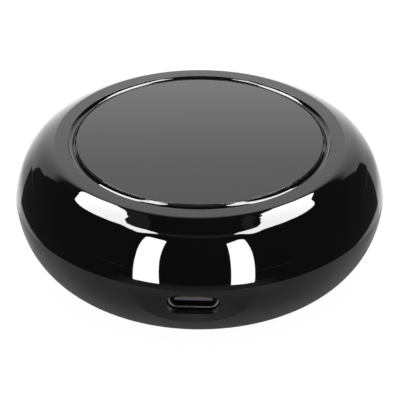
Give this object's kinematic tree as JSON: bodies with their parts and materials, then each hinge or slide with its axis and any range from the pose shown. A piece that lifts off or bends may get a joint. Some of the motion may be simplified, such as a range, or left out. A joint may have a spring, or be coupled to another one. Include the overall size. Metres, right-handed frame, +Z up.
{
  "type": "smart infrared blaster",
  "caption": "Round desktop puck that sends and learns infrared remote codes, with a glossy cover, a flush top disc, a matte case and a USB type C power socket.",
  "frame": {"origin": "centre of the foot's resting plane", "axes": "+Z up through the disc, -Y out of the USB socket, +X to the right when the socket is seen from the front"},
  "size_m": [0.069, 0.069, 0.0249],
  "materials": {
    "gloss_cover": "polished infrared-pass black",
    "top_disc": "smooth satin-gloss black",
    "adhesive_film": "double-sided adhesive film",
    "matte_case": "fine spark-eroded matte black",
    "foot_rubber": "moulded black rubber",
    "screw_steel": "zinc-plated steel",
    "board_green": "solder-resist laminate",
    "socket_steel": "drawn stainless sheet",
    "socket_plastic": "moulded black",
    "gold_contact": "gold flash",
    "board_blue": "solder-resist laminate",
    "chip_black": "moulded epoxy",
    "shield_steel": "tinned sheet",
    "emitter_resin": "clear bluish resin",
    "tinned_lead": "tin plate",
    "receiver_resin": "dark infrared-pass resin",
    "led_white": "white moulded package",
    "button_plastic": "moulded dark grey",
    "stem_plastic": "moulded ivory",
    "capacitor_can": "drawn aluminium",
    "ceramic_tan": "fired ceramic"
  },
  "bodies": {
    "case": {"upper_cover": "gloss_cover", "top_disc": "top_disc", "top_disc_adhesive": "adhesive_film", "lower_case": "matte_case", "foot_ring": "foot_rubber", "foot_adhesive": "adhesive_film", "case_screws": "screw_steel", "main_board": "board_green", "socket_shell": "socket_steel", "socket_tongue": "socket_plastic", "socket_contacts": "gold_contact", "radio_board": "board_blue", "radio_chip": "chip_black", "radio_shield": "shield_steel", "radio_antenna": "gold_contact", "ir_emitter_1": "emitter_resin", "ir_emitter_2": "emitter_resin", "ir_emitter_3": "emitter_resin", "ir_emitter_4": "emitter_resin", "ir_emitter_5": "emitter_resin", "ir_emitter_6": "emitter_resin", "ir_emitter_7": "emitter_resin", "emitter_leads": "tinned_lead", "ir_receiver": "receiver_resin", "receiver_leads": "tinned_lead", "status_led": "led_white", "reset_switch_base": "chip_black", "reset_switch_dome": "shield_steel", "reset_switch_frame": "shield_steel", "reset_switch_terminals": "tinned_lead", "bulk_capacitor": "capacitor_can", "bulk_capacitor_base": "chip_black", "voltage_regulator": "chip_black", "regulator_tab": "tinned_lead", "driver_transistors": "chip_black", "transistor_legs": "tinned_lead", "chip_resistors": "chip_black", "chip_capacitors": "ceramic_tan", "chip_terminals": "tinned_lead"},
    "button": {"reset_button": "button_plastic"},
    "switch_stem": {"reset_switch_stem": "stem_plastic"}
  },
  "joints": [
    {"name": "reset_press", "type": "slide", "parent": "case", "child": "button", "axis": [0, 0, 1], "range_m": [0, 0.00025], "stiffness_N_per_m": 2000},
    {"name": "switch_stem_press", "type": "slide", "parent": "case", "child": "switch_stem", "axis": [0, 0, 1], "range_m": [0, 0.00025], "deforming": ["reset_switch_dome"]}
  ],
  "couplings": [
    {"joint": "switch_stem_press", "follows": "reset_press", "ratio": 1}
  ]
}
